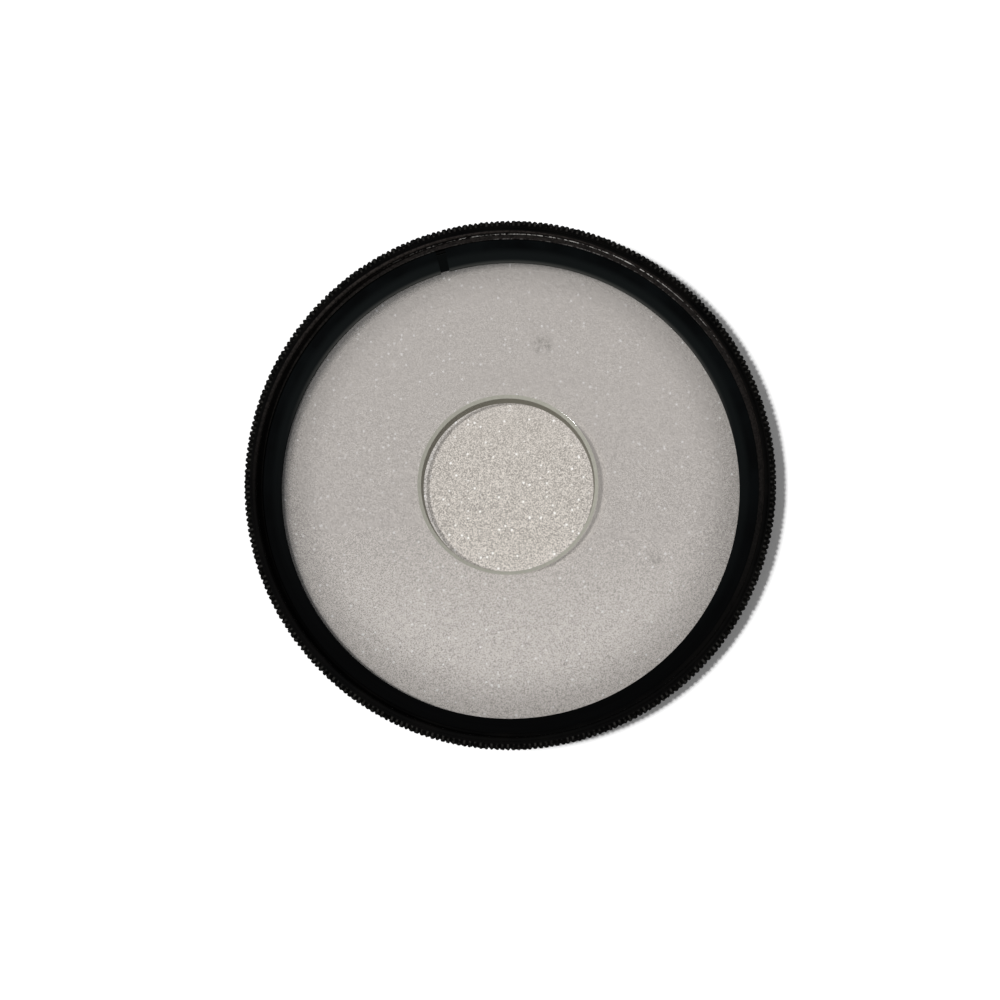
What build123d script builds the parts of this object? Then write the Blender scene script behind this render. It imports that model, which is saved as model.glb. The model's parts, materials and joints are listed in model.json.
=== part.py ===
# Screw in lens filter with a clear centre spot, lying on its rear thread.
# Millimetres, +Z towards the front thread, origin on the axis at the rear end.
from build123d import *
from math import cos, pi, sin, sqrt
import os

# Threads: metric fine, 55 mm across, one inside the front and one outside the rear
thread_diameter = 55.0
thread_pitch = 0.75
rear_thread_allowance = 0.05
rear_thread_length = 2.0
rear_thread_chamfer = 0.35
front_thread_length = 1.9
front_thread_chamfer = 0.12
relief_depth = 0.5
relief_length = 0.5

# Rim: shoulder, front land, and the narrow shelf between the land and the knurled bead
shoulder_width = 0.5
shoulder_chamfer = 0.2
front_land = 0.39
shelf_width = 0.18

# Knurled bead: it slopes up to the shelf, and its grooves run over the slope
bead_height_above_body = 0.55
bead_below_front = 0.25
bead_slope_height = 0.5
bead_band = 0.55
tooth_count = 303
tooth_depth = 0.22

# Seat of the glass, and the rear mouth behind it
seat_height = 2.2
seat_width = 1.2
seat_wall = 0.55
lip_thickness = 0.8
rear_mouth_wall = 0.95
glass_side_clearance = 0.1

# Glass: a flat disc with a hole bored through its middle
glass_thickness = 2.5
spot_diameter = 18.8
spot_bevel = 0.3

# Split spring ring and its groove
ring_width = 1.72
ring_thickness = 0.5
ring_edge_chamfer = 0.1
ring_split = 1.0
ring_split_angle = 106.5
groove_depth = 0.4
groove_below_glass_top = 0.06
ring_groove_clearance = 0.08
ring_top_clearance = 0.06
ledge_height = 0.35
ledge_setback = 0.25

# Radii that follow, from the threads to the seat
rear_thread_r = thread_diameter / 2 - rear_thread_allowance
rear_relief_r = rear_thread_r - relief_depth
front_thread_r = thread_diameter / 2 - 5 / 8 * sqrt(3) / 2 * thread_pitch
pocket_r = rear_relief_r - seat_wall
glass_r = pocket_r - glass_side_clearance
ledge_r = pocket_r + ledge_setback
lip_r = pocket_r - seat_width
rear_mouth_r = rear_relief_r - rear_mouth_wall
groove_r = pocket_r + groove_depth
ring_outer_r = groove_r - ring_groove_clearance
ring_inner_r = ring_outer_r - ring_width
spot_r = spot_diameter / 2

# Radii that follow, from the front thread out to the bead
body_r = rear_thread_r + shoulder_width
land_inner_r = front_thread_r + front_thread_chamfer
land_outer_r = land_inner_r + front_land
shelf_outer_r = land_outer_r + shelf_width
bead_r = body_r + bead_height_above_body

# Heights that follow, from the rear end up to the front face
shoulder_z = rear_thread_length + relief_length
glass_top_z = seat_height + glass_thickness
groove_z = glass_top_z - groove_below_glass_top
ring_top_z = glass_top_z + ring_thickness
ledge_z = ring_top_z + ring_top_clearance
thread_floor_z = ledge_z + ledge_height
front_z = thread_floor_z + front_thread_length
bead_top_z = front_z - bead_below_front
bead_crest_z = bead_top_z - bead_slope_height
bead_base_z = bead_crest_z - bead_band


def turned(points):
    """A solid turned from a closed section of (radius, height) points."""
    section = make_face(Polyline(*points, close=True).edges())
    return revolve(Plane.XZ * section, Axis.Z)


def toothed_outline(root_r, z):
    """The bead's outline at one height: a closed ring of straight-sided teeth."""
    tip_r = root_r * bead_r / (bead_r - tooth_depth)
    points = []
    for half_pitch in range(2 * tooth_count):
        angle = pi * half_pitch / tooth_count
        r = root_r if half_pitch % 2 else tip_r
        points.append((r * cos(angle), r * sin(angle), z))
    return Wire.make_polygon(points, close=True)


def knurled_bead():
    """The bead: an upright band and a slope above it, toothed all the way round."""
    root_r = bead_r - tooth_depth
    bead = Solid.make_loft([
        toothed_outline(root_r, bead_base_z),
        toothed_outline(root_r, bead_crest_z),
        toothed_outline(shelf_outer_r, bead_top_z),
    ], ruled=True)
    core = Cylinder(
        radius=land_inner_r,
        height=bead_top_z - bead_base_z,
        align=(Align.CENTER, Align.CENTER, Align.MIN),
    )
    return bead - Pos(0, 0, bead_base_z) * core


def filter_rim():
    """The one-piece aluminium rim: turned, with the knurled bead standing out of it."""
    rim = turned([
        (rear_mouth_r, 0),
        (rear_thread_r - rear_thread_chamfer, 0),
        (rear_thread_r, rear_thread_chamfer),
        (rear_thread_r, rear_thread_length),
        (rear_relief_r, rear_thread_length),
        (rear_relief_r, shoulder_z),
        (body_r - shoulder_chamfer, shoulder_z),
        (body_r, shoulder_z + shoulder_chamfer),
        (body_r, bead_crest_z),
        (land_outer_r, bead_crest_z),
        (land_outer_r, front_z),
        (land_inner_r, front_z),
        (front_thread_r, front_z - front_thread_chamfer),
        (front_thread_r, thread_floor_z),
        (ledge_r, thread_floor_z),
        (ledge_r, ledge_z),
        (groove_r, ledge_z),
        (groove_r, groove_z),
        (pocket_r, groove_z),
        (pocket_r, seat_height),
        (lip_r, seat_height),
        (lip_r, seat_height - lip_thickness),
    ])
    return rim + knurled_bead()


def retaining_ring():
    """The flat spring ring, split so that it can be squeezed into its groove."""
    ring = turned([
        (ring_inner_r, glass_top_z),
        (ring_outer_r, glass_top_z),
        (ring_outer_r, ring_top_z),
        (ring_inner_r + ring_edge_chamfer, ring_top_z),
        (ring_inner_r, ring_top_z - ring_edge_chamfer),
    ])
    split = Box(2 * ring_width, ring_split, 3 * ring_thickness)
    middle = Pos((ring_inner_r + ring_outer_r) / 2, 0, ring_top_z)
    return ring - Rot(0, 0, ring_split_angle) * middle * split


def glass_disc():
    """The clear glass, bored through its middle, with both ends of the bore bevelled."""
    return turned([
        (spot_r, seat_height + spot_bevel),
        (spot_r + spot_bevel, seat_height),
        (glass_r, seat_height),
        (glass_r, glass_top_z),
        (spot_r + spot_bevel, glass_top_z),
        (spot_r, glass_top_z - spot_bevel),
    ])


pieces = {
    "filter_rim": filter_rim(),
    "retaining_ring": retaining_ring(),
    "glass_disc": glass_disc(),
}

os.makedirs("parts", exist_ok=True)
for name, piece in pieces.items():
    export_step(piece, f"parts/{name}.step")
    print(name, round(piece.volume, 2), "mm3", "valid" if piece.is_valid else "broken")
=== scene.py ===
# %% [markdown]
# # A screw in lens filter, lying front side up
# This filter is three pieces: a black metal rim with a thread at each end, a flat spring ring, and
# a clear glass disc with a hole bored through its middle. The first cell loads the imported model.
# Everything after it is placed by that model, in metres, and moves with its one body, "root".

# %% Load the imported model
import json
import math

import bpy
from mathutils import Matrix, Vector


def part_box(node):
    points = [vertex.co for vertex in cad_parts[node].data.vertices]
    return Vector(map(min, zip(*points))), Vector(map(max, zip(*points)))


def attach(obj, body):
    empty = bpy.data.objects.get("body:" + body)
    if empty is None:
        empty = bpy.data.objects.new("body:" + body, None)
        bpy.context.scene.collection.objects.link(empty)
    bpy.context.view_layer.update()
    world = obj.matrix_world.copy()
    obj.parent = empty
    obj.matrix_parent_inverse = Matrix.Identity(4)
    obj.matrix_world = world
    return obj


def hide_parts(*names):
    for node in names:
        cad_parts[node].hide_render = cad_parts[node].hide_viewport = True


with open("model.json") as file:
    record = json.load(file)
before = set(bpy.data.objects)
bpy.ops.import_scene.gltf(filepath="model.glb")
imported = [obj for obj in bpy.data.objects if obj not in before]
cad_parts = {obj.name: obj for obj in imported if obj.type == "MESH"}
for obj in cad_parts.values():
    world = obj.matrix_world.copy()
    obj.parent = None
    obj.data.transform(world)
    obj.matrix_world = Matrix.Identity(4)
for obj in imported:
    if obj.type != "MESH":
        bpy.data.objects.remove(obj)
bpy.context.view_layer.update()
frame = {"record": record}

# %% [markdown]
# ## Sizes
# The turned pieces are all drawn as sections: pairs of a radius and a height. The main sizes are
# read from the model's boxes and mounts, so that nothing has to be fitted afterwards.

# %% Read the main sizes
MM = 0.001
AXIS_POINT = (0.0, 0.0, 0.0)

mounts = {mount["name"]: mount for mount in frame["record"]["mounts"]}
rim_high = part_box("filter_rim")[1]
ring_low, ring_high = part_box("retaining_ring")
glass_low, glass_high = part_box("glass_disc")

bead_r = rim_high[0] / MM
front_z = rim_high[2] / MM
ring_outer_r = ring_high[0] / MM
ring_base_z = ring_low[2] / MM
ring_top_z = ring_high[2] / MM
glass_r = glass_high[0] / MM
glass_base_z = glass_low[2] / MM
glass_top_z = glass_high[2] / MM
shoulder_z = mounts["rear_shoulder"]["pos_m"][2] / MM
front_thread_r = mounts["front_thread"]["dims"]["r_mm"]
rear_thread_r = mounts["rear_thread"]["dims"]["r_mm"]
print("bead radius", round(bead_r, 3), "mm, front face at", round(front_z, 3), "mm")

# %% [markdown]
# ## Small sizes of the rim
# Boxes don't tell how deep a thread is cut, how wide the front land is, or where the groove and the
# seat of the glass lie. Those sizes are written here once, in millimetres, each from its neighbour,
# so that a change of the thread or of the glass carries through.

# %% Name the small sizes of the rim
thread_pitch = 0.75
thread_depth = 0.4
front_thread_chamfer = 0.12
rear_thread_chamfer = 0.35
rear_thread_end_z = 2.0
relief_r = rear_thread_r - 0.5
body_r = rear_thread_r + 0.5
shoulder_chamfer = 0.2
land_inner_r = front_thread_r + front_thread_chamfer
land_outer_r = land_inner_r + 0.39
shelf_outer_r = land_outer_r + 0.18
bead_top_z = front_z - 0.25
bead_crest_z = bead_top_z - 0.5
bead_base_z = bead_crest_z - 0.55
pocket_r = relief_r - 0.55
lip_r = pocket_r - 1.2
lip_base_z = glass_base_z - 0.8
rear_mouth_r = relief_r - 0.95
ledge_r = pocket_r + 0.25
groove_r = ring_outer_r + 0.08
groove_base_z = ring_base_z - 0.06
ledge_base_z = ring_top_z + 0.06
thread_floor_z = ledge_base_z + 0.35
tooth_count = 303
tooth_depth = 0.22
print("thread floor at", round(thread_floor_z, 3), "mm, bead up to", round(bead_top_z, 3), "mm")

# %% [markdown]
# ## Working by selection
# Blender's tools act on whatever is selected, and a freshly loaded model is selected all over. Two
# small helpers keep that under control: one makes a single piece the only selected one, and the
# other opens a piece in edit mode with nothing or everything of it selected.

# %% Helpers for the selection
def select_only(piece):
    """Leaves edit mode, and makes one piece the only selected one."""
    if bpy.context.mode != "OBJECT":
        bpy.ops.object.mode_set(mode="OBJECT")
    bpy.ops.object.select_all(action="DESELECT")
    if piece is not None:
        piece.select_set(True)
        bpy.context.view_layer.objects.active = piece


def edit(piece, mode="VERT", selected=False):
    """Opens a piece in edit mode, with nothing or everything selected."""
    select_only(piece)
    bpy.ops.object.mode_set(mode="EDIT")
    bpy.ops.mesh.select_mode(type=mode)
    bpy.ops.mesh.select_all(action="SELECT" if selected else "DESELECT")


# %% [markdown]
# ## Turning a section
# A lathe turns a section round an axis. The same can be done by hand in edit mode: start from a
# circle of edges, extrude it, move it up and scale it to the next radius, again and again. That
# keeps every ring of points in order, which a knurl needs later on. Corners are never quite sharp
# on a real piece, so the section gets a small arc at each corner before it is turned.

# %% Helpers for turning
def rounded(section, steps=2):
    """Replaces each corner (r, z, radius) of a closed section by a short arc of points."""
    points = []
    for index, (r, z, radius) in enumerate(section):
        corner = Vector((r, z))
        before = Vector(section[index - 1][:2]) - corner
        after = Vector(section[(index + 1) % len(section)][:2]) - corner
        if radius == 0:
            points.append((r, z))
            continue
        reach = min(radius, 0.45 * before.length, 0.45 * after.length)
        start = corner + before.normalized() * reach
        end = corner + after.normalized() * reach
        for step in range(steps + 1):
            along = step / steps
            point = start.lerp(corner, along).lerp(corner.lerp(end, along), along)
            points.append((point.x, point.y))
    return points


def turn(name, points, segments):
    """Turns a closed section of (radius, height) in millimetres into a solid ring."""
    first_r, first_z = points[0]
    select_only(None)
    bpy.ops.mesh.primitive_circle_add(
        vertices=segments, radius=first_r * MM, location=(0, 0, first_z * MM))
    piece = bpy.context.object
    piece.name = name
    bpy.ops.object.transform_apply(location=True, rotation=True, scale=True)
    edit(piece, "EDGE", selected=True)
    for (r, z), (next_r, next_z) in zip(points, points[1:] + points[:1]):
        bpy.ops.mesh.extrude_edges_move(
            TRANSFORM_OT_translate={"value": (0, 0, (next_z - z) * MM)})
        bpy.ops.transform.resize(
            value=(next_r / r, next_r / r, 1), center_override=AXIS_POINT)
    bpy.ops.mesh.select_all(action="SELECT")
    bpy.ops.mesh.remove_doubles(threshold=0.0005 * MM)
    bpy.ops.mesh.normals_make_consistent(inside=False)
    bpy.ops.object.mode_set(mode="OBJECT")
    return piece


# %% [markdown]
# ## Shading and placing
# A turned piece is smooth round its axis and crisp at its edges. Shading smooth by angle does that,
# and weighted normals keep the flat faces looking flat. A finished piece then takes the place of the
# model's plain one and rides on the same body.

# %% Helpers for finished pieces
def smooth(piece, degrees=32):
    """Smooth shading with crisp sharp edges, and flat faces that stay flat up to their rounding."""
    select_only(piece)
    bpy.ops.object.shade_smooth_by_angle(angle=math.radians(degrees))
    leaning = piece.modifiers.new("weighted", "WEIGHTED_NORMAL")
    leaning.keep_sharp = True
    leaning.weight = 100
    bpy.ops.object.modifier_apply(modifier="weighted")


def settle(piece, node):
    """Rides a finished piece on the body, in the place of its CAD node."""
    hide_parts(node)
    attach(piece, "root")
    print(piece.name, "triangles", sum(len(face.vertices) - 2 for face in piece.data.polygons))


# %% [markdown]
# ## The rim's body
# The rim is one turned piece. Its section starts at the rear mouth and runs round the outside,
# over the narrow front land, and back down the inside: thread, ledge, groove of the spring ring,
# pocket of the glass, and the thin lip that the glass rests on. The two threads are left out of
# the section here, because a thread climbs as it goes round and can't be turned.

# %% Turn the rim's body
crisp = 0.03
soft = 0.07
rim_section = [
    (rear_mouth_r, 0, crisp),
    (rear_thread_r - rear_thread_chamfer, 0, soft),
    (rear_thread_r - thread_depth, 0.5 * rear_thread_chamfer, crisp),
    (rear_thread_r - thread_depth, rear_thread_end_z, 0),
    (relief_r, rear_thread_end_z + 0.05, 0),
    (relief_r, shoulder_z, crisp),
    (body_r - shoulder_chamfer, shoulder_z, crisp),
    (body_r, shoulder_z + shoulder_chamfer, crisp),
    (body_r, bead_crest_z, 0),
    (land_outer_r, bead_crest_z, 0),
    (land_outer_r, front_z, soft),
    (land_inner_r, front_z, crisp),
    (front_thread_r, front_z - front_thread_chamfer, crisp),
    (front_thread_r, front_z - 0.3, 0),
    (front_thread_r + thread_depth, front_z - 0.5, 0),
    (front_thread_r + thread_depth, thread_floor_z, 0),
    (ledge_r, thread_floor_z, soft),
    (ledge_r, ledge_base_z, crisp),
    (groove_r, ledge_base_z, 0),
    (groove_r, groove_base_z, 0),
    (pocket_r, groove_base_z, crisp),
    (pocket_r, glass_base_z, 0),
    (lip_r, glass_base_z, crisp),
    (lip_r, lip_base_z, crisp),
]
rim = turn("rim", rounded(rim_section), segments=tooth_count)
print("rim body faces", len(rim.data.polygons))

# %% [markdown]
# ## The knurled bead
# A knurl is a band of fine straight teeth that fingers can grip. This one runs over the sloping
# top of a small bead, so from above each tooth shows as a short line. The bead is turned with six
# points for every tooth. In each ring, one of the six is pulled in to the bottom of the groove, and
# its neighbours part of the way, which leaves 303 identical teeth with round backs.

# %% Turn the bead and pull its grooves in
# Each ring: radius at the teeth's tips, height, and how deep the grooves are there
bead_rings = [
    (body_r - 0.15, bead_base_z, 0),
    (bead_r - 0.12, bead_base_z, 0.7 * tooth_depth),
    (bead_r - 0.03, bead_base_z + 0.05, tooth_depth),
    (bead_r, bead_base_z + 0.14, tooth_depth),
    (bead_r, bead_crest_z - 0.08, tooth_depth),
    (bead_r - 0.03, bead_crest_z + 0.05, tooth_depth),
    (bead_r - 0.1, bead_crest_z + 0.16, tooth_depth),
    (shelf_outer_r + 0.36, bead_top_z - 0.13, 0.95 * tooth_depth),
    (shelf_outer_r + 0.22, bead_top_z - 0.03, 0.8 * tooth_depth),
    (shelf_outer_r + 0.1, bead_top_z, 0.35 * tooth_depth),
    (shelf_outer_r + 0.02, bead_top_z, 0),
    (land_outer_r - 0.1, bead_top_z, 0),
]
points_per_tooth = 6
groove_share = {1: 0.1, 2: 0.45, 3: 1.0, 4: 0.45, 5: 0.1}
bead = turn(
    "bead", [(r, z) for r, z, depth in bead_rings], segments=points_per_tooth * tooth_count)


def carve_ring(piece, r, z, depth):
    """Pulls in the points between the tooth tips, in the ring at that radius and height."""
    step = 2 * math.pi / (points_per_tooth * tooth_count)
    ring_points = [
        vertex for vertex in piece.data.vertices
        if abs(vertex.co.z / MM - z) < 0.001 and abs(vertex.co.xy.length / MM - r) < 0.001]
    for vertex in ring_points:
        phase = round(math.atan2(vertex.co.y, vertex.co.x) / step) % points_per_tooth
        shrink = 1 - groove_share.get(phase, 0) * depth / r
        vertex.co.x *= shrink
        vertex.co.y *= shrink


for r, z, depth in bead_rings:
    if depth:
        carve_ring(bead, r, z, depth)
print("bead faces", len(bead.data.polygons))

# %% [markdown]
# ## The threads
# A thread is one ridge wound round a wall. Its section is a small trapezium with 60 degree flanks,
# and the Screw modifier winds that section into a helix that climbs one pitch a turn. The ends run
# into the rim's metal. Where the end of the rim is chamfered, the tool cuts the thread's crest too,
# so the crest points outside the chamfer's cone are pulled in onto it.

# %% Wind the two ridges
def wind_thread(name, crest_r, root_r, start_z, end_z, steps=240):
    """A helical ridge from the wall at root_r to its crest, between two heights of its middle."""
    crest_half = thread_pitch / 8
    root_half = crest_half + abs(root_r - crest_r) * math.tan(math.radians(30))
    select_only(None)
    bpy.ops.mesh.primitive_plane_add(size=1, location=AXIS_POINT)
    ridge = bpy.context.object
    ridge.name = name
    corners = [
        (crest_r, -crest_half), (root_r, -root_half), (crest_r, crest_half), (root_r, root_half)]
    for vertex, (r, rise) in zip(ridge.data.vertices, corners):
        vertex.co = Vector((r, 0, start_z + rise)) * MM
    winding = ridge.modifiers.new("winding", "SCREW")
    winding.angle = 2 * math.pi * (end_z - start_z) / thread_pitch
    winding.screw_offset = (end_z - start_z) * MM
    winding.steps = round(steps * (end_z - start_z) / thread_pitch)
    winding.render_steps = winding.steps
    select_only(ridge)
    bpy.ops.object.modifier_apply(modifier="winding")
    edit(ridge, selected=True)
    bpy.ops.mesh.fill_holes(sides=4)
    bpy.ops.mesh.select_all(action="SELECT")
    bpy.ops.mesh.normals_make_consistent(inside=False)
    bpy.ops.object.mode_set(mode="OBJECT")
    return ridge


def chamfer_crest(ridge, end_r, chamfer):
    """Pulls in the points outside a 45 degree cone that is end_r wide at the rim's rear end."""
    for vertex in ridge.data.vertices:
        x, y, z = vertex.co / MM
        limit = end_r + max(z, 0.0)
        shrink = limit / math.hypot(x, y)
        if z < chamfer and shrink < 1:
            vertex.co = Vector((x * shrink, y * shrink, z)) * MM


front_ridge = wind_thread(
    "front_ridge", front_thread_r + 0.01, front_thread_r + thread_depth + 0.02,
    thread_floor_z - 0.52, front_z - 0.42)
rear_ridge = wind_thread(
    "rear_ridge", rear_thread_r, rear_thread_r - thread_depth - 0.02,
    rear_thread_chamfer, rear_thread_end_z - 0.15)
chamfer_crest(rear_ridge, rear_thread_r - rear_thread_chamfer, rear_thread_chamfer)
print("ridge faces", len(front_ridge.data.polygons), len(rear_ridge.data.polygons))

# %% [markdown]
# ## One rim
# The real rim is one piece of metal, so its four forms are joined into one object. The bead and the
# ridges reach a little way into the body, where nothing shows, and need no cutting to fit.

# %% Join the rim's forms into one piece
select_only(rim)
for form in (bead, front_ridge, rear_ridge):
    form.select_set(True)
bpy.ops.object.join()
smooth(rim)
settle(rim, "filter_rim")

# %% [markdown]
# ## The spring ring
# The ring that holds the glass is flat spring metal with one split, so that it can be squeezed
# smaller and snapped into its groove. Its section is turned through a little less than a full
# circle with the Spin tool, and the two cut ends keep their flat faces. Its inner edge isn't quite
# round the rim's axis, so the points of that edge are moved a little after the spin. The ring throws
# no shadow here, which would stand on the floor as a hard crescent that the real one doesn't show.

# %% Spin the spring ring, open at its split
ring_width = 2.1
ring_inner_r = ring_outer_r - ring_width
inner_edge_middle = (0.0, -0.46)
ring_split = 1.0
ring_split_angle = math.radians(106.5)
ring_edge = 0.09

select_only(None)
bpy.ops.mesh.primitive_plane_add(size=1, location=AXIS_POINT)
ring = bpy.context.object
ring.name = "ring"
edit(ring, selected=True)
bpy.ops.mesh.delete(type="ONLY_FACE")
bpy.ops.object.mode_set(mode="OBJECT")
section_corners = [(ring_inner_r, ring_base_z), (ring_outer_r, ring_base_z),
                   (ring_inner_r, ring_top_z), (ring_outer_r, ring_top_z)]
half_split = 0.5 * ring_split / (0.5 * (ring_inner_r + ring_outer_r))
start_angle = ring_split_angle - half_split
for vertex, (r, z) in zip(ring.data.vertices, section_corners):
    vertex.co = Vector((r * math.cos(start_angle), r * math.sin(start_angle), z)) * MM
edit(ring, "EDGE", selected=True)
bpy.ops.mesh.edge_face_add()
bpy.ops.mesh.select_all(action="SELECT")
bpy.ops.mesh.bevel(offset=ring_edge * MM, segments=2, affect="VERTICES")
bpy.ops.mesh.select_all(action="SELECT")
bpy.ops.mesh.spin(
    steps=300, angle=2 * math.pi - 2 * half_split, center=AXIS_POINT, axis=(0, 0, 1))
bpy.ops.mesh.select_all(action="SELECT")
bpy.ops.mesh.remove_doubles(threshold=0.0005 * MM)
bpy.ops.mesh.normals_make_consistent(inside=False)
bpy.ops.object.mode_set(mode="OBJECT")
for vertex in ring.data.vertices:
    if vertex.co.xy.length < 0.5 * (ring_inner_r + ring_outer_r) * MM:
        vertex.co += Vector((*inner_edge_middle, 0.0)) * MM
print("ring faces", len(ring.data.polygons))
smooth(ring)
ring.visible_shadow = False
settle(ring, "retaining_ring")

# %% [markdown]
# ## The glass
# The disc has two polished faces and two ground edges: the outer one, and the wall of the bore with
# a bevel at each end. Polished and ground glass look so unlike that the disc carries two finishes,
# and its faces are sorted between them by their normals. The bore is a hair off the middle and
# narrows a little towards the rear. So the points round it are moved after turning, those of the
# front and those of the rear each by their own amount.

# %% Turn the glass disc
spot_r = 9.36
rear_spot_r = 9.19
spot_bevel = 0.3
front_bevel_width = 0.38
front_bevel_height = 0.25
front_spot_centre = Vector((-0.26, 0.08, 0.0)) * MM
rear_spot_centre = Vector((-0.26, -0.01, 0.0)) * MM
glass_section = [
    (rear_spot_r, glass_base_z + spot_bevel, 0.04),
    (rear_spot_r + spot_bevel, glass_base_z, 0.02),
    (glass_r, glass_base_z, crisp),
    (glass_r, glass_top_z, crisp),
    (spot_r + front_bevel_width, glass_top_z, 0.02),
    (spot_r, glass_top_z - front_bevel_height, 0.04),
]
glass = turn("glass", rounded(glass_section), segments=256)
half_height = 0.5 * (glass_base_z + glass_top_z)
for vertex in glass.data.vertices:
    if vertex.co.xy.length < 2 * spot_r * MM:
        vertex.co += front_spot_centre if vertex.co.z > half_height * MM else rear_spot_centre
smooth(glass, 8)
settle(glass, "glass_disc")

# %% [markdown]
# ## Shader maths
# A finish is easier to read as a formula than as a list of nodes. `Wire` wraps the output of a
# node, and an expression on wires adds the Math nodes that it needs, so that `1 - mask` works.

# %% A class for sums on sockets
class Wire:
    """An output socket that can be used in a sum."""

    def __init__(self, finish, socket):
        self.finish = finish
        self.socket = socket

    def math(self, operation, *values):
        """Adds one Math node, and fills its sockets in order with numbers or wires."""
        return self.finish.node("ShaderNodeMath", {"operation": operation}, dict(enumerate(values)))

    def __add__(self, other):
        return self.math("ADD", self, other)

    def __sub__(self, other):
        return self.math("SUBTRACT", self, other)

    def __rsub__(self, other):
        return self.math("SUBTRACT", other, self)

    def __mul__(self, other):
        return self.math("MULTIPLY", self, other)

    def __truediv__(self, other):
        return self.math("DIVIDE", self, other)

    def __abs__(self):
        return self.math("ABSOLUTE", self)

    def either(self, other):
        """The larger of two masks."""
        return self.math("MAXIMUM", self, other)

    __radd__ = __add__
    __rmul__ = __mul__


# %% [markdown]
# ## One class for every finish
# `Finish` holds one material while it is built. Its `node` method adds any node: settings first,
# then the values or wires of its sockets. A turned piece is easiest to describe by where a point is
# on the lathe, so each finish knows its point in millimetres: x, y, height, radius and angle. All of
# them come from Object coordinates, which stay on the piece wherever the camera stands.

# %% A class for one finish
class Finish:
    """A material under construction, and the place of the point that it colours."""

    def __init__(self, name):
        self.material = bpy.data.materials.new(name)
        self.material.use_nodes = True
        self.tree = self.material.node_tree
        self.tree.nodes.clear()
        self.place = self.node("ShaderNodeTexCoord", output=3)
        split = self.node("ShaderNodeSeparateXYZ", values={"Vector": self.place})
        self.x, self.y, self.z = (Wire(self, axis) / MM for axis in split.socket.node.outputs)
        self.radius = self.x.math("SQRT", self.x * self.x + self.y * self.y)
        self.angle = self.x.math("ARCTAN2", self.y, self.x)

    def node(self, kind, settings=None, values=None, output=0):
        """Adds one node, sets it up, fills its sockets, and returns one of its outputs."""
        node = self.tree.nodes.new(kind)
        for name, value in (settings or {}).items():
            setattr(node, name, value)
        for name, value in (values or {}).items():
            if isinstance(value, Wire):
                self.tree.links.new(value.socket, node.inputs[name])
            else:
                node.inputs[name].default_value = value
        return Wire(self, node.outputs[output])

    def noise(self, scale, detail=3.0, place=None):
        """Soft cloudy noise from 0 to 1."""
        return self.node("ShaderNodeTexNoise", values={
            "Vector": place or self.place, "Scale": scale, "Detail": detail})

    def cells(self, scale):
        """A random number from 0 to 1 for each of many small cells."""
        values = {"Vector": self.place, "Scale": scale}
        colour = self.node("ShaderNodeTexVoronoi", values=values, output=1)
        return self.node("ShaderNodeSeparateColor", values={"Color": colour})

    def ramp(self, value, low, high):
        """0 below low, 1 above high, and a smooth rise between."""
        settings = {"interpolation_type": "SMOOTHSTEP"}
        values = {"Value": value, "From Min": low, "From Max": high}
        return self.node("ShaderNodeMapRange", settings, values)

    def near(self, value, middle, reach, blur):
        """1 within reach of the middle, falling to 0 over the blur."""
        return 1 - self.ramp(abs(value - middle), reach, reach + blur)

    def away_from(self, middle_x, middle_y):
        """How far the point is from an upright line, in millimetres."""
        to_x = self.x - middle_x
        to_y = self.y - middle_y
        return self.x.math("SQRT", to_x * to_x + to_y * to_y)

    def rays(self, *kinds):
        """1 where the light path is one of these kinds, such as "Shadow", and 0 otherwise."""
        outputs = self.node("ShaderNodeLightPath").socket.node.outputs
        mask = 0.0
        for kind in kinds:
            mask = Wire(self, outputs[f"Is {kind} Ray"]).either(mask)
        return mask

    def mix(self, factor, first, second):
        """Blends two colours, given as wires or as (r, g, b)."""
        first, second = (c if isinstance(c, Wire) else (*c, 1.0) for c in (first, second))
        values = {0: factor, 6: first, 7: second}
        return self.node("ShaderNodeMix", {"data_type": "RGBA"}, values, output=2)

    def bump(self, height, strength, depth):
        """Normals for a surface that is uneven by a depth in millimetres."""
        return self.node("ShaderNodeBump", values={
            "Strength": strength, "Distance": depth * MM, "Height": height})

    def surface(self, values):
        """One Principled shader."""
        return self.node("ShaderNodeBsdfPrincipled", values=values)

    def blend(self, factor, first, second):
        """Mixes two shaders."""
        return self.node("ShaderNodeMixShader", values={0: factor, 1: first, 2: second})

    def close(self, shader):
        """Sends a shader to the material's output."""
        output = self.tree.nodes.new("ShaderNodeOutputMaterial")
        self.tree.links.new(shader.socket, output.inputs["Surface"])
        print(self.material.name, "nodes", len(self.tree.nodes))
        return self.material


def dress(piece, *materials):
    """Gives a piece these materials and no others."""
    piece.data.materials.clear()
    for material in materials:
        piece.data.materials.append(material)


# %% [markdown]
# ## Where the thread is worn
# Anodised aluminium is dyed black, and the dye sits in a hard skin. Where threads rub, the skin
# wears through and bright metal shows along their crests. The mask finds the crests by radius and
# height, breaks them up into small cells and larger patches, and keeps the wear to one stretch of
# the rim, around 75 degrees, where the real filter has it.

# %% A mask for bare metal
worn_middle = math.radians(75)
worn_fully = math.radians(12)
worn_to = math.radians(50)
lowest_turn_z = thread_floor_z + 0.4


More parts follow.
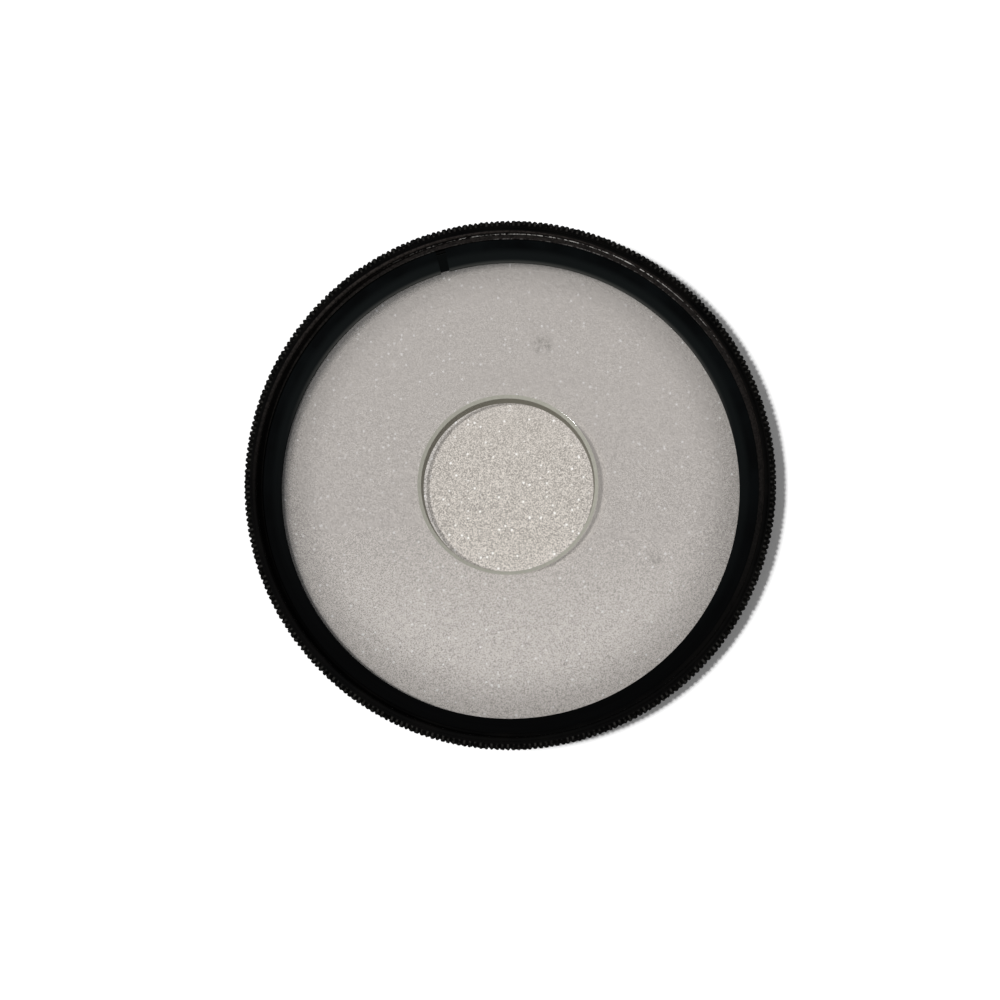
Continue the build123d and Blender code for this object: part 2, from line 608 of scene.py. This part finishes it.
def thread_wear(finish, wear_and_glint_cells):
    """1 where the dye is gone from the crests of the front thread."""
    crest = 1 - finish.ramp(finish.radius, front_thread_r + 0.03, front_thread_r + 0.12)
    crest = crest * finish.near(finish.z, lowest_turn_z, 0.3, 0.1)
    ledge_corner = finish.near(finish.radius, ledge_r + 0.02, 0.05, 0.05)
    ledge_corner = ledge_corner * finish.near(finish.z, thread_floor_z, 0.03, 0.06)
    stretch = 1 - finish.ramp(abs(finish.angle - worn_middle), worn_fully, worn_to)
    patches = finish.ramp(finish.noise(420.0, 2.0), 0.38, 0.58)
    broken = finish.ramp(wear_and_glint_cells, 0.3, 0.95) * (0.2 + 0.8 * patches)
    return crest.either(0.1 * ledge_corner) * stretch * broken


worn_ends = [round(math.degrees(worn_middle + side * worn_to)) for side in (-1, 1)]
print("worn between", *worn_ends, "degrees")

# %% [markdown]
# ## Painted sheen and highlights
# The front land and the wall of the thread are painted a lighter brown as a painted sheen, mostly on
# the upper side. The band of it on the land drifts in radius round the rim, as a highlight does. The
# tops of the teeth get painted highlights: fine grey lines on the slope of the bead and small glints
# on the crest. Both only change the colour, and both are speckled, because a clean even line would
# look drawn.

# %% Painted sheen and painted highlights on the teeth
sheen_middle_r = 27.13
sheen_drift = 0.2
sheen_drift_angle = math.radians(20)
sheen_tint = (0.026, 0.022, 0.020)
tooth_highlight_r = shelf_outer_r + 0.24
tooth_highlight = (0.026, 0.025, 0.023)
tooth_glint_r = bead_r - 0.22
tooth_glint = (0.020, 0.019, 0.018)


def painted_sheen(finish, dye_and_painted_light):
    """Paints a lighter sheen, as a painted highlight, on the land and on the wall of the front
    thread.
    """
    lit_upper_side = finish.ramp(finish.y + 0.25 * finish.x, -14.0, 24.0)
    # The painted sheen's radius drifts round the rim, as a highlight on a rounded land does
    sheen_r = sheen_middle_r - sheen_drift * finish.angle.math("COSINE", finish.angle - sheen_drift_angle)
    sheen = finish.near(finish.radius, sheen_r, 0.14, 0.1)
    sheen = sheen * finish.ramp(finish.z, front_z - 0.35, front_z - 0.25)
    wall = finish.ramp(finish.z, thread_floor_z - 0.05, thread_floor_z)
    wall = wall * (1 - finish.ramp(finish.radius, land_inner_r - 0.05, land_inner_r))
    speckled = 0.35 + 0.9 * finish.cells(5200.0)
    # Painted sheen, lighter on the upper side
    return finish.mix(sheen.either(0.55 * wall) * lit_upper_side * speckled, dye_and_painted_light, sheen_tint)


def painted_tooth_highlights(finish, dye_and_painted_light, wear_and_glint_cells):
    """Paints highlights on the tops of the teeth: a line on the slope and small glints on the crest.
    """
    tooth_phase = finish.angle.math("FRACT", finish.angle * (tooth_count / (2 * math.pi)) + 0.5)
    slope = finish.near(finish.radius, tooth_highlight_r, 0.1, 0.14)
    slope = slope * finish.ramp(finish.z, bead_crest_z - 0.1, bead_crest_z)
    # Painted highlight lines along the tops of the teeth, on the slope
    ridge = finish.near(tooth_phase, 0.5, 0.1, 0.16) * slope
    highlight_breakup = finish.ramp(finish.noise(2200.0, 2.0), 0.35, 0.65)
    dye_and_painted_light = finish.mix(ridge * highlight_breakup, dye_and_painted_light, tooth_highlight)
    # Painted glints on the tops of the teeth, near the crest
    glint = finish.near(tooth_phase, 0.5, 0.08, 0.14)
    glint = glint * finish.near(finish.radius, tooth_glint_r, 0.05, 0.1)
    return finish.mix(glint * finish.ramp(wear_and_glint_cells, 0.45, 0.9), dye_and_painted_light, tooth_glint)


# The band of painted sheen on the land lies at this radius
print("rubbed ring at", sheen_middle_r, "mm")

# %% [markdown]
# ## Black anodising
# The skin scatters a little light, so it is a satin black and not a metal mirror. Its black is a
# real one: so dark that only the painted sheen, the painted highlights and the bare crests show any
# detail. The bare metal is the same shader with its Metallic turned up by the mask.

# %% The rim's finish
deep_dye = (0.0006, 0.0006, 0.0006)
cloudy_dye = (0.0022, 0.0020, 0.0018)
bare_metal = (0.95, 0.92, 0.88)
black_specular = 0.015


def anodised_finish():
    finish = Finish("black_anodised")
    cloud = finish.noise(260.0, 4.0)
    wear_and_glint_cells = finish.cells(4600.0)
    wear = thread_wear(finish, wear_and_glint_cells)
    dye_and_painted_light = finish.mix(finish.ramp(cloud, 0.35, 0.7), deep_dye, cloudy_dye)
    # Painted sheen on the land and thread wall, then painted highlights on the teeth
    dye_and_painted_light = painted_tooth_highlights(finish, painted_sheen(finish, dye_and_painted_light), wear_and_glint_cells)
    shader = finish.surface({
        "Base Color": finish.mix(wear, dye_and_painted_light, bare_metal),
        "Roughness": 0.48 + 0.12 * cloud - 0.15 * wear,
        "Metallic": wear,
        "Specular IOR Level": black_specular,
        "Normal": finish.bump(finish.noise(9000.0), 0.25, 0.02)})
    return finish.close(shader)


dress(rim, anodised_finish())

# %% [markdown]
# ## The spring ring's finish
# The ring is smoother than the rim and looks a little blue beside it. It is blackened too, with
# faint streaks along its length from rolling. The streaks are noise on unrolled coordinates, which
# stretches it along the ring. Its upper side is painted lighter and its lower side darker, as
# painted light and shade, and the inner part of the face is painted lighter on the upper side. A
# narrow band at the inner edge carries a painted highlight on the upper side.

# %% The ring's finish
highlight_band = 0.42
highlight_grey = (0.040, 0.041, 0.038)
blue_black = (0.0008, 0.0011, 0.0013)
blue_grey = (0.0024, 0.0034, 0.0038)
shaded_lower_black = (0.0003, 0.0004, 0.0005)
inner_highlight_grey = (0.0050, 0.0064, 0.0066)


def ring_finish():
    finish = Finish("black_ring")
    cloud = finish.noise(320.0, 4.0)
    unrolled = finish.node("ShaderNodeCombineXYZ", values={
        0: finish.radius * 6.0, 1: finish.angle * 3.0, 2: finish.z})
    streaks = finish.noise(1.0, place=unrolled)
    lit_upper_side = finish.ramp(finish.y + 0.1 * finish.x, -22.0, 20.0)
    cold = finish.mix(finish.ramp(cloud, 0.3, 0.75), blue_black, blue_grey)
    # Painted light and shade: the upper side lighter, the lower side darker
    dye_and_painted_light = finish.mix(lit_upper_side, shaded_lower_black, cold)
    inner_part = 1 - finish.ramp(finish.radius, ring_inner_r + 0.5, ring_inner_r + 1.3)
    # The inner part of the face is painted lighter on the upper side: painted highlight
    dye_and_painted_light = finish.mix(inner_part * lit_upper_side, dye_and_painted_light, inner_highlight_grey)
    # A painted highlight along the inner edge, on the upper side
    from_edge = finish.away_from(*inner_edge_middle) - ring_inner_r
    highlighted = (1 - finish.ramp(from_edge, 0.0, highlight_band)) * finish.ramp(finish.y, 4.0, 16.0)
    shader = finish.surface({
        "Base Color": finish.mix(highlighted, dye_and_painted_light, highlight_grey),
        "Roughness": 0.5 + 0.16 * streaks,
        "Specular IOR Level": black_specular,
        "Normal": finish.bump(streaks, 0.15, 0.02)})
    return finish.close(shader)


dress(ring, ring_finish())

# %% [markdown]
# ## Marks on the glass
# A used glass has a fingerprint and a few dried specks. They are dull round spots, broken up by
# noise. Each one is written as it was read off a picture of the filter, in pixels, and turned into
# millimetres on the glass by the picture's own centre and scale.

# %% A mask for the marks
smudges_px = {
    "fingerprint": (543, 345, 14),
    "speck_a": (680, 610, 5),
    "speck_b": (645, 670, 5),
    "dried_drop": (655, 560, 9),
}
photo_centre_px = (510.6, 487.0)
photo_px_per_mm = 9.28


def smudges(finish):
    """Up to 1 in the middle of each mark, and 0 away from them."""
    marks = 0.0
    for px, py, size in smudges_px.values():
        mark_x = (px - photo_centre_px[0]) / photo_px_per_mm
        mark_y = (photo_centre_px[1] - py) / photo_px_per_mm
        mark_r = size / photo_px_per_mm
        mark = 1 - finish.ramp(finish.away_from(mark_x, mark_y), 0.3 * mark_r, mark_r)
        marks = mark.either(marks)
    return marks * finish.ramp(finish.noise(1500.0), 0.35, 0.65)


print("marks on the glass", len(smudges_px))

# %% [markdown]
# ## Polished glass
# Polished glass bends what is behind it and mirrors a little of what is in front. This glass also
# carries a thin dull film on its top face, which hides some of the floor: that is a second shader,
# blended in. Towards the ring the glass and the film are painted darker, as painted shade, with a
# painted shadow at the ring's edge, strongest on the upper left. Under the ring the top face is
# painted black, as painted shade, so that the ring's split looks black and not grey. Lamps would
# leave a black shadow behind such a surface, because their light is traced straight to the floor, so
# light that is on its way to the floor passes through with a clear tint. The film is thicker away
# from the viewer.

# %% The finish of the polished faces
# Four colours each: plain, painted shade by the ring, painted shadow at the ring, and dirt under a
# mark
glass_tints = (
    (0.985, 0.968, 0.955), (0.60, 0.59, 0.575), (0.25, 0.25, 0.25), (0.55, 0.54, 0.52))
film_tints = (
    (0.445, 0.417, 0.392), (0.25, 0.235, 0.222), (0.07, 0.07, 0.07), (0.28, 0.265, 0.245))
film_share = 0.24
more_film = 0.24
shade_middle = (0.0, 0.6)
ring_shadow_middle = (0.65, -0.75)
under_ring_black = (0.001, 0.0015, 0.0015, 1.0)
clear_tint = (0.947, 0.957, 0.975, 1.0)


def polished_finish():
    finish = Finish("clear_glass")
    haze = finish.noise(90.0, 5.0)
    top_face = finish.ramp(finish.z, glass_top_z - 0.1, glass_top_z - 0.05)
    dirt = smudges(finish) * top_face
    # Painted shade: the glass and the film darken towards the ring
    edge_shade = finish.ramp(finish.away_from(*shade_middle), 19.6, 25.6) * top_face
    # A painted shadow along the ring's edge, strongest on the upper left
    ring_shadow = finish.ramp(finish.away_from(*ring_shadow_middle), 24.1, 25.1) * top_face

    def shaded(plain, shade_by_ring, shadow_at_ring, marked):
        """A colour with painted shade towards the ring, a painted shadow at its edge, and dirt under
        the marks.
        """
        colour = finish.mix(edge_shade, plain, shade_by_ring)
        colour = finish.mix(ring_shadow, colour, shadow_at_ring)
        return finish.mix(dirt, colour, marked)

    clear = finish.surface({
        "Base Color": shaded(*glass_tints),
        "Roughness": 0.02 + 0.06 * haze + 0.08 * dirt,
        "IOR": 1.5,
        "Transmission Weight": 1.0})
    film = finish.surface({
        "Base Color": shaded(*film_tints),
        "Roughness": 0.9,
        "Specular IOR Level": 0.0})
    misted = film_share + more_film * finish.ramp(finish.y + 6.0 * (haze - 0.5), -20.0, 0.0)
    filmed = finish.blend(misted * top_face, clear, film)
    # Under the ring the top face is painted black, as painted shade, so the split looks black
    under_ring_shade = finish.surface({
        "Base Color": under_ring_black, "Roughness": 0.6, "Specular IOR Level": 0.02})
    from_ring = finish.away_from(*inner_edge_middle)
    under_ring_mask = finish.ramp(from_ring, ring_inner_r + 0.1, ring_inner_r + 0.2) * top_face
    edged = finish.blend(under_ring_mask, filmed, under_ring_shade)
    open_to_light = finish.node("ShaderNodeBsdfTransparent", values={"Color": clear_tint})
    return finish.close(finish.blend(finish.rays("Shadow", "Diffuse"), edged, open_to_light))


polished = polished_finish()

# %% [markdown]
# ## Ground glass
# Ground glass scatters: its bevels are a pale grey-green, and the wall of the bore between them is
# painted darker, as painted shade, because less light reaches it. Most light on its way to the floor
# passes through here too.
# Only the rear bevel and the wall on the lit side hold it back, and draw the thin shadow line that
# runs round the bore.

# %% The finish of the ground edges
ground_tints = ((0.33, 0.325, 0.275), (0.47, 0.46, 0.40))
bore_wall_shade_tint = (0.190, 0.182, 0.140)
hidden_edge_tint = (0.006, 0.007, 0.007)


def ground_finish():
    finish = Finish("ground_glass")
    grain = finish.noise(3200.0, 4.0)
    at_bore = 1 - finish.ramp(finish.radius, 12.0, 13.0)
    wall_reach = 0.5 * (glass_top_z - glass_base_z) - spot_bevel
    wall = finish.near(finish.z, half_height, wall_reach, 0.02)
    rim_side = finish.ramp(finish.radius, glass_r - 0.3, glass_r - 0.1)
    pale = finish.mix(grain, *ground_tints)
    # The bore's wall is painted darker: painted shade
    base = finish.mix(wall * at_bore, pale, bore_wall_shade_tint)
    base = finish.mix(rim_side, base, hidden_edge_tint)
    shader = finish.surface({
        "Base Color": base,
        "Roughness": 0.5,
        "Specular IOR Level": 0.3,
        "Normal": finish.bump(grain, 0.4, 0.03)})
    rear_bevel = 1 - finish.ramp(finish.z, glass_base_z + 0.3, glass_base_z + 0.35)
    lit_side = finish.ramp(finish.x - 0.2 * finish.y, 2.0, 6.0)
    lit_side = lit_side * (1 - finish.ramp(finish.z, glass_top_z - 0.4, glass_top_z - 0.3))
    held_back = (0.6 * rear_bevel).either(lit_side)
    passing = finish.rays("Shadow") * (1 - held_back) * at_bore
    open_to_light = finish.node("ShaderNodeBsdfTransparent")
    return finish.close(finish.blend(passing, shader, open_to_light))


dress(glass, polished, ground_finish())
for face in glass.data.polygons:
    face.material_index = 0 if abs(face.normal.z) > 0.98 else 1
print("polished faces", sum(face.material_index == 0 for face in glass.data.polygons))

# %% [markdown]
# ## The floor
# The filter lies on a pale sheet with a fine grain and a sparkle. The grain is one random number for
# each tiny cell, and the sparkle is a dot in some of the larger cells. Under the filter the grain
# shows more towards the viewer, where the sheet is also painted brighter, as painted light. Away
# from the filter the background is plain white: the floor's own colour, lifted to full white for the
# camera and for what glass and metal mirror. The shadow beside the rim is left out of the lift.

# %% The floor
patch_r = 26.9
grain_scale = 12000.0
sparkle_scale = 1500.0
paper_tints = ((0.34, 0.315, 0.288), (0.78, 0.728, 0.672))
sparkle_tint = (1.0, 0.98, 0.95)
background_tint = (0.95, 0.95, 0.95)
no_lift = (0.0, 0.0, 0.0)
full_lift = (0.25, 0.25, 0.25)
lamp_lean = math.radians(11.8)
lamp_azimuth = math.radians(197.4)
shadow_reach = bead_crest_z * math.tan(lamp_lean)
shadow_middle = (-shadow_reach * math.cos(lamp_azimuth), -shadow_reach * math.sin(lamp_azimuth))


def sheet_colour(finish):
    """The grain and the sparkle of the sheet."""
    broad = finish.noise(45.0)
    contrast = finish.ramp(10.0 * (broad - 0.5) - finish.y, -12.0, 4.0)
    grain = finish.cells(grain_scale) - 0.5
    cloud = finish.noise(900.0, 2.0) - 0.5
    swing = (1.65 * grain + 0.2 * cloud) * (0.4 + 0.46 * contrast)
    # Towards the viewer the sheet is painted brighter: painted light
    swing = swing + 0.27 * (1 - finish.ramp(finish.y, -15.0, -2.0))
    paper = finish.mix(finish.ramp(swing, -0.5, 0.5), *paper_tints)
    dots = finish.node(
        "ShaderNodeTexVoronoi", values={"Vector": finish.place, "Scale": sparkle_scale})
    drawn = finish.ramp(finish.cells(sparkle_scale), 0.45, 0.85)
    sparkle = (1 - finish.ramp(dots, 0.12, 0.26)) * drawn
    return finish.mix(sparkle, paper, sparkle_tint)


def floor_finish():
    finish = Finish("pale_floor")
    outside = finish.ramp(finish.radius, patch_r - 0.1, patch_r + 0.1)
    sunlit = finish.ramp(finish.away_from(*shadow_middle), bead_r, bead_r + 0.5)
    lifted = finish.rays("Camera", "Glossy", "Transmission") * outside * sunlit
    shader = finish.surface({
        "Base Color": finish.mix(outside, sheet_colour(finish), background_tint),
        "Roughness": 0.9,
        "Specular IOR Level": 0.0,
        "Emission Color": finish.mix(lifted, no_lift, full_lift),
        "Emission Strength": 1.0})
    return finish.close(shader)


select_only(None)
bpy.ops.mesh.primitive_plane_add(size=6.0, location=AXIS_POINT)
floor = bpy.context.object
floor.name = "floor"
dress(floor, floor_finish())

# %% [markdown]
# ## Light
# One lamp, high up and a little to the left, throws the short shadow on the right of the rim, and an
# even sky fills it. Their strengths add up to about one, so that a colour renders about as it is
# written.

# %% The lamp and the sky
lamp_share = 0.68
sky_share = 0.34


def leaning(lean, azimuth):
    """The direction that leans from straight up towards an azimuth."""
    return Vector((
        math.sin(lean) * math.cos(azimuth), math.sin(lean) * math.sin(azimuth), math.cos(lean)))


select_only(None)
bpy.ops.object.light_add(type="SUN", location=(-0.3, -0.1, 0.8))
lamp = bpy.context.object
lamp.name = "key_lamp"
lamp.data.angle = math.radians(3)
lamp.data.energy = math.pi * lamp_share / math.cos(lamp_lean)
lamp.rotation_euler = leaning(lamp_lean, lamp_azimuth).to_track_quat("Z", "Y").to_euler()

world = bpy.data.worlds.new("soft_sky")
bpy.context.scene.world = world
world.use_nodes = True
sky = world.node_tree.nodes["Background"]
sky.inputs["Color"].default_value = (1.0, 1.0, 1.0, 1.0)
sky.inputs["Strength"].default_value = sky_share
bpy.context.scene.view_settings.view_transform = "Standard"
print("lamp energy", round(lamp.data.energy, 3), "sky strength", sky_share)

# %% [markdown]
# ## Camera
# The picture of the filter is taken from nearly straight above. The rim's outline is a circle that
# comes out 0.6 % narrower one way than the other, and a circle seen 6.4 degrees off its axis does
# that. So the camera looks at the middle of the bead from a little below and to the right, and a
# tiny shift puts the filter where the picture has it.

# %% The camera
camera_distance = 360.0
camera_lean = math.radians(6.37)
camera_azimuth = math.radians(-70.2)
px_per_mm = 9.349
photo_width_px = 1000
bead_centre_px = (509.46, 483.25)
sensor_mm = 36.0

back = leaning(camera_lean, camera_azimuth)
right = Vector((0, 1, 0)).cross(back).normalized()
up = back.cross(right)
camera_place = Vector((0, 0, bead_crest_z)) + back * camera_distance

select_only(None)
bpy.ops.object.camera_add(location=AXIS_POINT)
camera = bpy.context.object
camera.name = "camera"
turned_frame = Matrix((right, up, back)).transposed().to_4x4()
camera.matrix_world = Matrix.Translation(camera_place * MM) @ turned_frame
camera.data.sensor_width = sensor_mm
camera.data.lens = sensor_mm * camera_distance * px_per_mm / photo_width_px
camera.data.shift_x = 0.5 - bead_centre_px[0] / photo_width_px
camera.data.shift_y = bead_centre_px[1] / photo_width_px - 0.5
camera.data.clip_start = 0.01
bpy.context.scene.camera = camera
shift = (round(camera.data.shift_x, 3), round(camera.data.shift_y, 3))
print("lens", round(camera.data.lens, 1), "mm, shift", shift)

# %% [markdown]
# ## Finish

# %% Finish
select_only(None)
